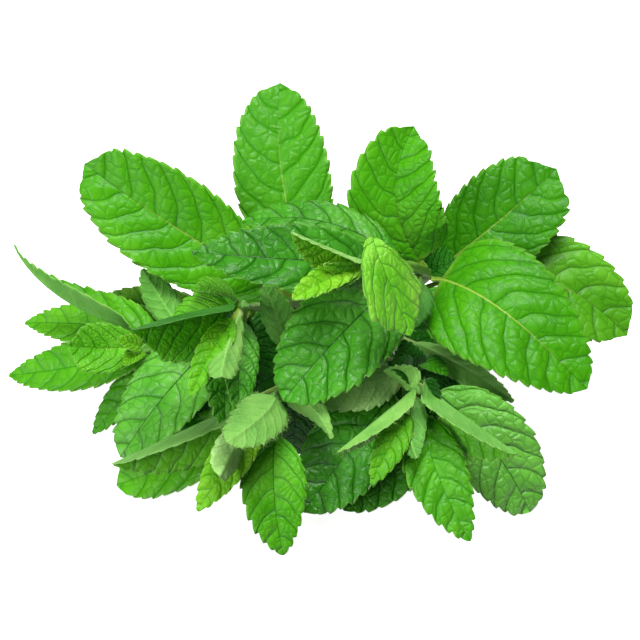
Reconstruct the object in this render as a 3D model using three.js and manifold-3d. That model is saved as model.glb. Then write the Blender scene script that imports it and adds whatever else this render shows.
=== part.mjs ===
// A sprig of mint, cut and laid on a flat surface: one square main stem that arches up from its
// cut end, four side shoots, and opposite pairs of toothed leaves that spread as a fan.
//
// Millimetres, +Z up, the surface at z = 0. The cut end points back (+Y) and the fan opens to the
// front (-Y). Leaf tips and faces are given in the fan's own directions [right, up, front]:
// the fan leans back by FAN_LEAN, and its middle stands FAN_HEIGHT above the surface.

import * as THREE from "three";
import { mergeVertices } from "three/addons/utils/BufferGeometryUtils.js";
import Module from "manifold-3d";

const FAN_LEAN = 38; // degrees between the fan's front direction and the level
const FAN_HEIGHT = 40;

const BLADE_THICKNESS = 0.7;
const MIDRIB_DEPTH = 0.5; // how far the midrib stands out under the blade
const PETIOLE_HALF_WIDTH = 0.9;
const TOOTH_DEPTH = 0.9;
const TOOTH_LEAN = 0.3; // share of half a tooth by which each tooth points to the tip
const TIP_HALF_WIDTH = 0.3;
const TOOTH_PITCH = 4.4;
const FEWEST_TEETH = 5; // on each side of a blade
const MOST_TEETH = 10;
const FULL_TOOTH_WIDTH = 20; // blades narrower than this have smaller teeth
const FOLD_START = 1 / 6; // share of the blade in which its fold grows from the flat stalk
const TWIST_CENTRE = 0.3; // share of the leaf where a twist leaves it as it was
const GAP = 0.35; // between a shoot's end and its bud
const STEM_STEP = 2.6;
const KNOT_SWELL = 0.35; // extra half width of the stem where a pair of leaves grows
const KNOT_LENGTH = 2.2;
const CORE_LENGTH = 5; // the tight young heart of a bud
const CORE_WIDTH = 3.2;

const wasm = await Module();
wasm.setup();

const COLOURS = {
  stem: [0x9db56a, 0.55],
  mature: [0x3f8f2f, 0.5],
  fresh: [0x66b53a, 0.5],
  young: [0x9bcf3c, 0.5],
};

// The main stem and its side shoots: points along the middle, and half the width at both ends of
// the square section.
const SHOOTS = {
  main: {
    points: [
      [14, 84, 2], [13, 62, 2.8], [15, 45, 9], [21, 33, 20], [30, 23, 36],
      [33, 13, 48], [28, 2, 59], [21, -6, 66], [15, -10, 69],
    ],
    halfWidths: [2, 1.1],
  },
  left: {
    points: [[22, 32, 21], [6.5, 26, 28], [-10, 15, 35], [-21, 0, 45], [-22.5, -21, 61.5]],
    halfWidths: [1.4, 0.8],
  },
  far_left: {
    points: [[15, 44, 10], [-6, 36, 15], [-28, 15, 24], [-44, 1, 31], [-52, -6, 34]],
    halfWidths: [1.4, 0.8],
  },
  low_left: {
    points: [[15, 45, 9], [6, 20, 17], [-4, -4, 26], [-10, -20, 32.5], [-13, -31, 36]],
    halfWidths: [1.4, 0.8],
  },
  low_right: {
    points: [[21, 33, 20], [21.5, 12, 24], [26, -8, 30], [28.5, -29, 37.5]],
    halfWidths: [1.4, 0.8],
  },
};

// Each leaf: how far along its stem it grows (at, 0 to 1), where its tip is, which way its upper
// side faces, and its width. bow lifts its middle towards the face and sway moves it sideways;
// fold raises both halves from the midrib, cup bends them further towards the edge, and twist
// turns the blade from base to tip (degrees). petiole is the stalk's length. swell and point
// shape the outline: a small value is full at the base or blunt at the tip. crest is where along
// the leaf the bow is highest, pressed leaves lie flat where they meet the surface, and gap is the
// room between the stalk's end and the stem: more where the two meet at a slant.
const LEAF_DEFAULTS = {
  bow: 3, sway: 0, fold: 8, cup: 0, twist: 0, petiole: 3, swell: 0.55, point: 0.8, crest: 0.5,
  gap: 0.6, pressed: false, colour: "mature",
};

const LEAVES = {
  main: [
    { at: 0.2, tip: [72, 5, -74], face: [0, 0.79, 0.62], width: 28, bow: -5, petiole: 5,
      point: 0.6, pressed: true },
    { at: 0.2, tip: [-36, 10, -80], face: [0, 0.79, 0.62], width: 26, bow: -5, petiole: 5,
      point: 0.6, pressed: true },
    { at: 0.35, tip: [45, -24, -16], face: [0, 0.4, 1], width: 22, fold: 6, petiole: 5,
      point: 0.6, gap: 0.9 },
    { at: 0.5, tip: [75, 48, -16], face: [0.1, 0.3, 1], width: 32, bow: 4, sway: 2, fold: 6,
      petiole: 6, point: 0.45 },
    { at: 0.5, tip: [98, -5, -20], face: [-0.1, 0.4, 1], width: 32, bow: 6, sway: -10,
      petiole: 12, point: 0.55 },
    { at: 0.625, tip: [29, 60, 0], face: [-0.2, 0.2, 1], width: 31, bow: 4, sway: -7, fold: 16,
      petiole: 2, swell: 0.25, point: 0.5 },
    { at: 0.625, tip: [81, -21, 12], face: [0.1, 0.3, 1], width: 41, bow: 8, sway: -2, fold: 6,
      cup: -10, swell: 0.25, point: 0.65, crest: 0.4 },
    { at: 0.7, tip: [27, -3.5, 14], face: [0, 0.3, -1], width: 11, bow: -4, sway: 0, gap: 0.9 },
    { at: 0.74, tip: [-24, 30, 4], face: [0, 0.9, 0.8], width: 17, bow: 6, sway: 3, petiole: 4,
      point: 0.7 },
    { at: 0.75, tip: [-11, -24, 30], face: [-0.1, 0.3, 1], width: 31, bow: 6, cup: -10,
      petiole: 4, point: 0.6 },
    { at: 0.875, tip: [-38, 20, 28], face: [0, 0.35, 1], width: 22, bow: 4, sway: -2, fold: 12,
      gap: 0.9 },
    { at: 0.875, tip: [28, -5, 42], face: [0, 0.85, 0.5], width: 17, bow: 21, sway: 10, cup: -14,
      swell: 0.9, point: 0.6, crest: 0.35, gap: 1.2, colour: "fresh" },
  ],
  left: [
    { at: 0.36, tip: [-13, 76, -22], face: [0, 0.1, 1], width: 31, bow: 4, sway: -4.5, fold: 6,
      petiole: 6, point: 0.55, colour: "fresh" },
    { at: 0.46, tip: [-74, 49, -8], face: [0.15, -0.2, 1], width: 33, bow: 5, sway: -1, fold: 12,
      petiole: 10, point: 0.5 },
    { at: 0.72, tip: [-61, -42, 8], face: [-0.3, 0.4, 1], width: 26, bow: 6, cup: -8, petiole: 5,
      point: 0.6 },
    { at: 0.84, tip: [-38, 9, 18], face: [0, 0.8, 0.6], width: 9, bow: 2, sway: 2, fold: 10,
      petiole: 2 },
    { at: 0.86, tip: [-45, -3, 15], face: [-0.3, 0.6, 1], width: 15, bow: 2, sway: 1 },
    { at: 0.9, tip: [-24, -29, 29.5], face: [0.5, 0, 1], width: 12, bow: 2, sway: 2, fold: 14 },
  ],
  far_left: [
    { at: 0.5, tip: [-72, 7, -30], face: [0, 0.4, 1], width: 14, bow: 4, colour: "fresh" },
    { at: 0.66, tip: [-97, -1, -38], face: [0, 0.4, 1], width: 17, colour: "fresh" },
    { at: 0.72, tip: [-56, 16, -8], face: [0, -0.2, -1], width: 11, bow: 2, fold: 15 },
    { at: 0.74, tip: [-72, -36, -14], face: [-0.2, 0.3, 1], width: 12 },
    { at: 0.84, tip: [-97, 24, -14], face: [0.1, 0.9, 0.3], width: 18, bow: -7, fold: 46, twist: -50,
      point: 1.2, crest: 0.6 },
    { at: 0.86, tip: [-101, -18, -30], face: [0, 0.4, 1], width: 18, bow: 1, sway: -2,
      colour: "fresh" },
    { at: 0.98, tip: [-78, -8, 4], face: [0, 0.1, 1], width: 17, bow: -1, sway: -1, fold: 24,
      petiole: 2, point: 0.4 },
  ],
  low_left: [
    { at: 0.45, tip: [-25, -25, -14], face: [0, 0.5, 1], width: 26, fold: 6, petiole: 4, point: 0.6 },
    { at: 0.64, tip: [-17, 11, 9], face: [0, 0.5, -1], width: 11, bow: 2, fold: 20, petiole: 6 },
    { at: 0.76, tip: [-63, -51, 1.5], face: [0, 0.3, 1], width: 19, bow: 1, sway: -4, petiole: 5,
      point: 0.45, pressed: true, colour: "fresh" },
    { at: 0.88, tip: [-62, -43, 24], face: [0.41, -0.74, 0.54], width: 24, bow: 0, fold: 48,
      petiole: 5 },
    { at: 0.96, tip: [1, -34, 30], face: [0.2, 0.1, -1], width: 6, bow: -2, fold: 20, petiole: 1,
      colour: "fresh" },
    { at: 0.93, tip: [-11, -70, 25], face: [0, 0.2, 1], width: 19.5, bow: 5, sway: 2.5,
      petiole: 12, point: 0.8, pressed: true },
  ],
  low_right: [
    { at: 0.3, tip: [59, -25, 8], face: [0, -0.3, -0.95], width: 9, bow: 2, sway: 2, fold: 10,
      petiole: 8 },
    { at: 0.56, tip: [-1, -39, -4], face: [0, 0.4, 1], width: 24, fold: 6, petiole: 4, point: 0.6 },
    { at: 0.66, tip: [16, -15, 5], face: [0, 0.8, 0.6], width: 12, bow: 2, fold: 10, petiole: 5,
      gap: 0.9 },
    { at: 0.66, tip: [39, -17, 8], face: [0, 0.8, 0.6], width: 8, bow: 2, fold: 10, petiole: 3,
      gap: 0.9 },
    { at: 0.79, tip: [-4, -24, 24], face: [0, -0.3, -0.95], width: 16, bow: -3, sway: 1, fold: 4 },
    { at: 0.72, tip: [7, -58, 10], face: [0, 0.3, 1], width: 23, bow: 1, sway: -7, petiole: 8,
      pressed: true },
    { at: 0.82, tip: [-5, -58, 17], face: [0, 0.3, 1], width: 26, bow: 3, petiole: 6, point: 0.65 },
    { at: 0.82, tip: [64, -59, 10], face: [0, 0.3, 1], width: 26, bow: 6, sway: -3, petiole: 8,
      point: 0.6, pressed: true },
    { at: 0.96, tip: [57, -39, 38], face: [-0.72, -0.6, 0.34], width: 23, bow: 0, fold: 45, petiole: 5,
      colour: "fresh" },
    { at: 0.94, tip: [44, -65, 32], face: [0, 0.2, 1], width: 18.5, bow: 5, sway: 3, petiole: 10,
      colour: "fresh" },
  ],
};

// The young leaves that crowd round each growing tip.
const BUDS = {
  main: [
    { tip: [-8, 25, 46], face: [0, -0.9, 0.43], width: 14, bow: 0, fold: 40 },
    { tip: [-8, 6, 46], face: [-0.2, 0.2, 1], width: 9, bow: 2, fold: 14, point: 0.6 },
    { tip: [-3, 7, 39], face: [-0.2, 0.2, 1], width: 9, bow: 2, fold: 14 },
    { tip: [1, 16, 42], face: [0, -0.4, 1], width: 4, bow: 1, fold: 20 },
  ],
  left: [
    { tip: [-54, -3, 46], face: [0.39, -0.77, 0.5], width: 27, bow: 0, sway: 2, fold: 48, petiole: 2 },
    { tip: [-37, -22, 50], face: [0, 0.2, 1], width: 9, bow: 2, sway: 1, fold: 10, petiole: 6 },
    { tip: [-28, -16, 56], face: [0, -0.2, -1], width: 10.5, bow: 2, sway: -1, fold: 30,
      petiole: 4, point: 0.45 },
  ],
  far_left: [
    { tip: [-62, -6, 10], face: [0, 0.3, 1], width: 6, bow: 1, fold: 20 },
    { tip: [-60, -14, 8], face: [0, 0.6, 1], width: 6, bow: 1, fold: 20 },
  ],
  low_left: [
    { tip: [-27, -35, 48], face: [0, -0.2, -1], width: 15, bow: -3, sway: 2, fold: 8, point: 0.5 },
    { tip: [-36, -56, 34], face: [-0.1, 0.2, 1], width: 12.5, bow: 2, petiole: 8 },
    { tip: [-29, -45, 44], face: [0, 0.5, -1], width: 12, bow: 2, fold: 24, petiole: 6, point: 0.45 },
  ],
  low_right: [
    { tip: [5, -38, 45], face: [0.66, -0.74, 0.14], width: 16, bow: 0, fold: 45, petiole: 4 },
    { tip: [15, -48, 37], face: [0, 0.2, 1], width: 10, bow: 2, petiole: 8 },
    { tip: [28, -40, 40], face: [0.4, 0.2, -1], width: 9, bow: 2, fold: 25, petiole: 6 },
  ],
};

const UP = new THREE.Vector3(0, 0, 1);
const fanTurn = new THREE.Matrix4().makeRotationX(THREE.MathUtils.degToRad(90 - FAN_LEAN));

function fanDirection(rightUpFront) {
  return new THREE.Vector3(...rightUpFront).applyMatrix4(fanTurn).normalize();
}

function fanPoint(rightUpFront) {
  const point = new THREE.Vector3(...rightUpFront).applyMatrix4(fanTurn);
  point.z += FAN_HEIGHT;
  return point;
}

function material(colour) {
  const [color, roughness] = COLOURS[colour];
  return new THREE.MeshStandardMaterial({ color, roughness, metalness: 0 });
}

function solidOf(geometry) {
  const bare = new THREE.BufferGeometry();
  bare.setAttribute("position", geometry.getAttribute("position"));
  bare.setIndex(geometry.getIndex());
  const merged = mergeVertices(bare, 1e-4);
  return new wasm.Manifold(
    new wasm.Mesh({
      numProp: 3,
      vertProperties: merged.getAttribute("position").array,
      triVerts: new Uint32Array(merged.getIndex().array),
    }),
  );
}

function geometryOf(solid) {
  const { vertProperties, triVerts } = solid.getMesh();
  const geometry = new THREE.BufferGeometry();
  geometry.setAttribute("position", new THREE.BufferAttribute(vertProperties, 3));
  geometry.setIndex(new THREE.BufferAttribute(triVerts, 1));
  return geometry;
}

// ---- the stem: square shoots, thicker at each pair of leaves, joined into one branched piece ----

const curves = {};
for (const [name, shoot] of Object.entries(SHOOTS))
  curves[name] = new THREE.CatmullRomCurve3(shoot.points.map((p) => new THREE.Vector3(...p)));

function stemHalfWidth(name, t) {
  const curve = curves[name];
  const [thick, thin] = SHOOTS[name].halfWidths;
  const length = curve.getLength();
  let half = THREE.MathUtils.lerp(thick, thin, t);
  const knots = new Set(LEAVES[name].map((leaf) => leaf.at));
  for (const knot of knots)
    half += KNOT_SWELL * Math.exp(-((((t - knot) * length) / KNOT_LENGTH) ** 2));
  return Math.min(half, THREE.MathUtils.lerp(thick, thin, t) + KNOT_SWELL);
}

function stemFrame(name, t) {
  const axis = curves[name].getTangent(t);
  const side = new THREE.Vector3().crossVectors(UP, axis).normalize();
  const top = new THREE.Vector3().crossVectors(axis, side);
  return { centre: curves[name].getPoint(t), axis, side, top };
}

function shootGeometry(name) {
  const steps = Math.round(curves[name].getLength() / STEM_STEP);
  const geometry = new THREE.BoxGeometry(2, 2, 1, 1, 1, steps);
  const position = geometry.getAttribute("position");
  const corner = new THREE.Vector3();
  for (let i = 0; i < position.count; i++) {
    corner.fromBufferAttribute(position, i);
    const t = corner.z + 0.5;
    const { centre, side, top } = stemFrame(name, t);
    const half = stemHalfWidth(name, t);
    centre.addScaledVector(side, corner.x * half).addScaledVector(top, corner.y * half);
    position.setXYZ(i, centre.x, centre.y, Math.max(centre.z, 0));
  }
  return geometry;
}

function stemMesh() {
  const solids = Object.keys(SHOOTS).map((name) => solidOf(shootGeometry(name)));
  const mesh = new THREE.Mesh(geometryOf(wasm.Manifold.union(solids)), material("stem"));
  mesh.name = "stem";
  return mesh;
}

// ---- leaves: a sheet along a bowed spine, thickened into a closed blade ----

// The blade's own frame: base at the origin, chord along +Y, upper side to +Z.
function bladePoint(leaf, length, t, across, extra) {
  const rise = (s) => {
    const m = leaf.crest;
    return (s ** (2 * m) * (1 - s) ** (2 - 2 * m)) / (m ** (2 * m) * (1 - m) ** (2 - 2 * m));
  };
  const spine = (s) => new THREE.Vector3(leaf.sway * rise(s), length * s, leaf.bow * rise(s));
  const along = spine(Math.min(t + 0.01, 1)).sub(spine(Math.max(t - 0.01, 0))).normalize();
  const normal = UP.clone().addScaledVector(along, -along.z).normalize();
  const side = new THREE.Vector3().crossVectors(along, normal);
  const twist = THREE.MathUtils.degToRad(leaf.twist) * (t - TWIST_CENTRE);
  normal.applyAxisAngle(along, -twist);
  side.applyAxisAngle(along, -twist);

  const blade = THREE.MathUtils.clamp((t * length - leaf.petiole) / (length - leaf.petiole), 0, 1);
  const fullest = leaf.swell / (leaf.swell + leaf.point);
  const peak = fullest ** leaf.swell * (1 - fullest) ** leaf.point;
  let half = ((leaf.width / 2) * blade ** leaf.swell * (1 - blade) ** leaf.point) / peak;
  half = Math.max(half, t < 1 ? PETIOLE_HALF_WIDTH : TIP_HALF_WIDTH) + extra;

  const grown = Math.min(blade / FOLD_START, 1);
  const angle = grown * THREE.MathUtils.degToRad(leaf.fold + (leaf.cup * Math.abs(across)) / 2);
  const point = spine(t)
    .addScaledVector(side, half * across * Math.cos(angle))
    .addScaledVector(normal, half * Math.abs(across) * Math.sin(angle));
  const outward = normal
    .clone()
    .multiplyScalar(Math.cos(angle))
    .addScaledVector(side, -Math.sign(across) * Math.sin(angle));
  return { point, outward: across === 0 ? normal : outward };
}

function leafGeometry(leaf, length) {
  const wanted = Math.round((length - leaf.petiole) / TOOTH_PITCH);
  const teeth = THREE.MathUtils.clamp(wanted, FEWEST_TEETH, MOST_TEETH);
  const rows = 2 * teeth + 1; // the stalk, then a hollow and a tip for each tooth
  const stalk = leaf.petiole / length;
  const pitch = (1 - stalk) / (2 * teeth);
  const sheet = new THREE.PlaneGeometry(2, rows, 2, rows);
  const upper = sheet.getAttribute("position");
  const lower = upper.clone();
  for (let i = 0; i < upper.count; i++) {
    const across = Math.round(upper.getX(i));
    const row = Math.round(upper.getY(i) + rows / 2);
    const toothed = row > 1 && row < rows;
    const onTooth = toothed && row % 2 === 0;
    const depth = TOOTH_DEPTH * Math.min(1, leaf.width / FULL_TOOTH_WIDTH);
    const extra = toothed ? (onTooth ? depth / 2 : -depth / 2) : 0;
    let t = row === 0 ? 0 : stalk + (row - 1) * pitch;
    if (across !== 0 && onTooth) t += TOOTH_LEAN * pitch;
    const { point, outward } = bladePoint(leaf, length, t, across, extra);
    const rib = across === 0 ? MIDRIB_DEPTH : 0;
    const top = point.clone().addScaledVector(outward, BLADE_THICKNESS / 2);
    const underside = point.clone().addScaledVector(outward, -BLADE_THICKNESS / 2 - rib);
    upper.setXYZ(i, top.x, top.y, top.z);
    lower.setXYZ(i, underside.x, underside.y, underside.z);
  }
  return closedBlade(sheet.getIndex().array, upper.array, lower.array, 3, rows + 1);
}

// Joins an upper and a lower sheet, split into the same triangles, by a wall round their rim.
function closedBlade(triangles, upper, lower, columns, rows) {
  const count = columns * rows;
  const index = [];
  for (let i = 0; i < triangles.length; i += 3) {
    const [a, b, c] = triangles.slice(i, i + 3);
    index.push(a, b, c, count + a, count + c, count + b);
  }
  const rim = [];
  for (let row = 0; row < rows - 1; row++) rim.push(row * columns);
  for (let column = 0; column < columns - 1; column++) rim.push((rows - 1) * columns + column);
  for (let row = rows - 1; row > 0; row--) rim.push(row * columns + columns - 1);
  for (let column = columns - 1; column > 0; column--) rim.push(column);
  rim.forEach((a, i) => {
    const b = rim[(i + 1) % rim.length];
    index.push(a, count + a, count + b, a, count + b, b);
  });
  const geometry = new THREE.BufferGeometry();
  geometry.setAttribute("position", new THREE.Float32BufferAttribute([...upper, ...lower], 3));
  geometry.setIndex(index);
  return geometry;
}

// Places a blade with its base at a point, its chord to the tip and its upper side to the face.
function placement(base, tip, face) {
  const chord = tip.clone().sub(base);
  const along = chord.clone().normalize();
  const up = face.clone().addScaledVector(along, -along.dot(face)).normalize();
  const side = new THREE.Vector3().crossVectors(along, up);
  const matrix = new THREE.Matrix4().makeBasis(side, along, up).setPosition(base);
  return { matrix, length: chord.length() };
}

// The underside of a leaf that lies on the surface is flat there, and the blade keeps its thickness.
function pressFlat(geometry) {
  const position = geometry.getAttribute("position");
  for (let i = 0; i < position.count; i++) {
    const lowest = i < position.count / 2 ? BLADE_THICKNESS : 0;
    position.setZ(i, Math.max(position.getZ(i), lowest));
  }
}

function leafMesh(name, shoot, values) {
  const leaf = { ...LEAF_DEFAULTS, ...values };
  const { centre, axis, side, top } = stemFrame(shoot, leaf.at);
  const tip = fanPoint(leaf.tip);
  const out = tip.clone().sub(centre);
  out.addScaledVector(axis, -axis.dot(out)).normalize();
  const slant = Math.max(Math.abs(out.dot(side)), Math.abs(out.dot(top)));
  const reach = stemHalfWidth(shoot, leaf.at) / slant;
  const base = centre.addScaledVector(out, reach + leaf.gap);
  const { matrix, length } = placement(base, tip, fanDirection(leaf.face));
  const geometry = leafGeometry(leaf, length);
  const mesh = new THREE.Mesh(geometry, material(leaf.colour));
  mesh.name = name;
  if (leaf.pressed) {
    geometry.applyMatrix4(matrix);
    pressFlat(geometry);
  } else {
    mesh.applyMatrix4(matrix);
  }
  return mesh;
}

// ---- buds: young leaves fused to a small heart at the end of a shoot ----

function budMesh(name, shoot, leaves) {
  const { centre, axis } = stemFrame(shoot, 1);
  const heart = centre.clone().addScaledVector(axis, GAP + CORE_LENGTH / 2);
  const core = new THREE.SphereGeometry(0.5, 8, 6);
  core.scale(CORE_WIDTH, CORE_LENGTH, CORE_WIDTH);
  core.applyQuaternion(new THREE.Quaternion().setFromUnitVectors(new THREE.Vector3(0, 1, 0), axis));
  core.translate(heart.x, heart.y, heart.z);
  let bud = solidOf(core);
  for (const values of leaves) {
    const leaf = { ...LEAF_DEFAULTS, petiole: 1, ...values };
    const { matrix, length } = placement(heart, fanPoint(leaf.tip), fanDirection(leaf.face));
    const geometry = leafGeometry(leaf, length);
    geometry.applyMatrix4(matrix);
    bud = bud.add(solidOf(geometry));
  }
  const mesh = new THREE.Mesh(geometryOf(bud), material("young"));
  mesh.name = name;
  return mesh;
}

// ---- the sprig ----

const sprig = new THREE.Group();
sprig.add(stemMesh());
for (const shoot of Object.keys(SHOOTS)) {
  LEAVES[shoot].forEach((leaf, i) => sprig.add(leafMesh(`${shoot}_leaf_${i + 1}`, shoot, leaf)));
  sprig.add(budMesh(`${shoot}_bud`, shoot, BUDS[shoot]));
}

// The origin is on the surface, under the middle of the sprig's box.
const middle = new THREE.Box3().setFromObject(sprig, true).getCenter(new THREE.Vector3());
for (const mesh of sprig.children) {
  mesh.position.x -= middle.x;
  mesh.position.y -= middle.y;
}

export default sprig;
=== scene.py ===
import math
import random

import bmesh
import bpy
from mathutils import Matrix, Quaternion, Vector


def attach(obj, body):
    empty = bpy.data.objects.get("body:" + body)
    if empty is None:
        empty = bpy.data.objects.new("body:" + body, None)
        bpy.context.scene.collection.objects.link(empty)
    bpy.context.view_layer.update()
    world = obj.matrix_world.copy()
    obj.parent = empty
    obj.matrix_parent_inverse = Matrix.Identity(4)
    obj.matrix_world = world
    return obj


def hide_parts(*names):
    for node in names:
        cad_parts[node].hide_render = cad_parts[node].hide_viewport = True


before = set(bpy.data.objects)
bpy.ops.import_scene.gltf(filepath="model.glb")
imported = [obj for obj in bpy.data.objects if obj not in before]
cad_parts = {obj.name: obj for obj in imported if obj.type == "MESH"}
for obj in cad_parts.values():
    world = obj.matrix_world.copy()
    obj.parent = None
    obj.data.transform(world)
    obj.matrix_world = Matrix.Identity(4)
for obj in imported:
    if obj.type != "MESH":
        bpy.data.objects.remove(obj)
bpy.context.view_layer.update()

# ---- the stem ----
# One branched, square, juicy green stem, cut at its lower end, lying down and rising to its
# tips. It grew in one piece: a main stem and four side shoots, swollen at each pair of leaves,
# with rounded corners and a shallow channel along each face.

# Lengths in the making of the pieces are millimetres, before this turns them into metres.
TO_FRAME = Matrix.Scale(0.001, 4) @ Matrix.Translation((0.3667, -9.1057, 0))
UP = Vector((0, 0, 1))
KNOT_SWELL = 0.35
KNOT_LENGTH = 2.2
STEM_SIDES = 24
RING_STEP = 1.1
CORNER_POWER = 5  # 2 would be a round stem, and more makes it squarer
CHANNEL_DEPTH = 0.09  # as a share of the half width
PITH_INSET = 0.35
PITH_SINK = 0.15

SHOOTS = {
    "main": {
        "points": [
            (14, 84, 2), (13, 62, 2.8), (15, 45, 9), (21, 33, 20), (30, 23, 36),
            (33, 13, 48), (28, 2, 59), (21, -6, 66), (15, -10, 69),
        ],
        "half_widths": (2, 1.1),
        "knots": (0.2, 0.35, 0.5, 0.625, 0.7, 0.74, 0.75, 0.875),
    },
    "left": {
        "points": [(22, 32, 21), (6.5, 26, 28), (-10, 15, 35), (-21, 0, 45), (-22.5, -21, 61.5)],
        "half_widths": (1.4, 0.8),
        "knots": (0.36, 0.46, 0.72, 0.84, 0.86, 0.9),
    },
    "far_left": {
        "points": [(15, 44, 10), (-6, 36, 15), (-28, 15, 24), (-44, 1, 31), (-52, -6, 34)],
        "half_widths": (1.4, 0.8),
        "knots": (0.5, 0.66, 0.72, 0.74, 0.84, 0.86, 0.98),
    },
    "low_left": {
        "points": [(15, 45, 9), (6, 20, 17), (-4, -4, 26), (-10, -20, 32.5), (-13, -31, 36)],
        "half_widths": (1.4, 0.8),
        "knots": (0.45, 0.64, 0.76, 0.88, 0.96, 0.93),
    },
    "low_right": {
        "points": [(21, 33, 20), (21.5, 12, 24), (26, -8, 30), (28.5, -29, 37.5)],
        "half_widths": (1.4, 0.8),
        "knots": (0.3, 0.56, 0.66, 0.79, 0.72, 0.82, 0.96, 0.94),
    },
}


def shoot_point(name, t):
    """A point on the smooth middle line of a shoot, for t from 0 at its foot to 1 at its tip."""
    points = [Vector(p) for p in SHOOTS[name]["points"]]
    i = min(int((len(points) - 1) * t), len(points) - 2)
    w = (len(points) - 1) * t - i
    b, c = points[i], points[i + 1]
    a = points[i - 1] if i > 0 else 2 * b - c
    d = points[i + 2] if i + 2 < len(points) else 2 * c - b
    ab, bc, cd = ((q - p).length ** 0.5 for p, q in ((a, b), (b, c), (c, d)))
    m = ((b - a) / ab - (c - a) / (ab + bc) + (c - b) / bc) * bc
    n = ((c - b) / bc - (d - b) / (bc + cd) + (d - c) / cd) * bc
    return b + m * w + (3 * (c - b) - 2 * m - n) * w**2 + (2 * (b - c) + m + n) * w**3


def shoot_frame(name, t):
    axis = shoot_point(name, min(t + 1e-4, 1)) - shoot_point(name, max(t - 1e-4, 0))
    axis.normalize()
    side = UP.cross(axis).normalized()
    return shoot_point(name, t), axis, side, axis.cross(side)


for shoot in SHOOTS:
    steps = [shoot_point(shoot, i / 200) for i in range(201)]
    SHOOTS[shoot]["length"] = sum((b - a).length for a, b in zip(steps, steps[1:]))


def half_width(name, t):
    thick, thin = SHOOTS[name]["half_widths"]
    plain = thick + (thin - thick) * t
    knots = SHOOTS[name]["knots"]
    reach = SHOOTS[name]["length"] / KNOT_LENGTH
    swell = sum(KNOT_SWELL * math.exp(-(((t - k) * reach) ** 2)) for k in knots)
    return plain + min(swell, KNOT_SWELL)


def linear(code):
    """The linear colour of an sRGB hex value."""
    parts = (int(code[i : i + 2], 16) / 255 for i in (1, 3, 5))
    return [p / 12.92 if p <= 0.04045 else ((p + 0.055) / 1.055) ** 2.4 for p in parts] + [1]


def add(tree, kind, inputs=None, **settings):
    """Adds a node with its settings; an input is a value, a socket, or a node's first output."""
    made = tree.nodes.new("ShaderNode" + kind)
    for name, value in settings.items():
        setattr(made, name, value)
    for socket, value in (inputs or {}).items():
        if isinstance(value, bpy.types.Node):
            value = value.outputs[0]
        if isinstance(value, bpy.types.NodeSocket):
            tree.links.new(value, made.inputs[socket])
        else:
            made.inputs[socket].default_value = value
    return made


def new_material(name):
    material = bpy.data.materials.new(name)
    material.use_nodes = True
    material.node_tree.nodes.clear()
    return material


def visible_piece(bm, name, materials):
    """An object of the shape that bm holds in millimetres."""
    bmesh.ops.transform(bm, matrix=TO_FRAME, verts=bm.verts)
    mesh = bpy.data.meshes.new(name)
    bm.to_mesh(mesh)
    bm.free()
    for material in materials:
        mesh.materials.append(material)
    mesh.shade_smooth()
    piece = bpy.data.objects.new(name, mesh)
    bpy.context.collection.objects.link(piece)
    return piece


def finished(bm, name, node, materials):
    """The visible piece that stands for a CAD node."""
    piece = visible_piece(bm, name, materials)
    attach(piece, "root")
    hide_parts(node)
    return piece


# Fresh stem skin: pale green with fine lengthwise streaks and a satin, slightly waxy gloss.
stem_skin = new_material("mint_stem_skin")
tree = stem_skin.node_tree
skin = add(tree, "Attribute", attribute_name="skin")
# the attribute is (turns round the stem, mm along it), so these streaks are about 0.8 mm wide
# at the foot, with finer ones in them
streak_place = add(tree, "VectorMath", {0: skin.outputs["Vector"], 1: (18, 0.35, 1)}, operation="MULTIPLY")
streaks = add(tree, "TexNoise", {"Vector": streak_place, "Scale": 1.0, "Detail": 3.0})
place = add(tree, "TexCoord")
patches = add(tree, "TexNoise", {"Vector": place.outputs["Object"], "Scale": 90.0, "Detail": 2.0})
skin_colour = add(tree, "MixRGB", {0: streaks, 1: linear("#558c26"), 2: linear("#86b24c")})
patch_share = add(tree, "MapRange", {0: patches, 1: 0.45, 2: 0.75, 3: 0.0, 4: 0.6})
skin_colour = add(tree, "MixRGB", {0: patch_share, 1: skin_colour, 2: linear("#7c9c3a")})
skin_bump = add(tree, "Bump", {"Strength": 0.5, "Distance": 0.0002, "Height": streaks})
shader = add(
    tree, "BsdfPrincipled",
    {"Base Color": skin_colour, "Roughness": 0.42, "Normal": skin_bump, "IOR": 1.45},
)
add(tree, "OutputMaterial", {0: shader})

# Cut pith: pale, matt and finely porous.
pith = new_material("mint_stem_pith")
tree = pith.node_tree
place = add(tree, "TexCoord")
pores = add(tree, "TexVoronoi", {"Vector": place.outputs["Object"], "Scale": 2500.0})
pith_colour = add(tree, "MixRGB", {0: pores, 1: linear("#b9c98c"), 2: linear("#e6e8c4")})
pith_bump = add(tree, "Bump", {"Strength": 0.4, "Distance": 0.0002, "Height": pores})
shader = add(tree, "BsdfPrincipled", {"Base Color": pith_colour, "Roughness": 0.7, "Normal": pith_bump})
add(tree, "OutputMaterial", {0: shader})

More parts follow.
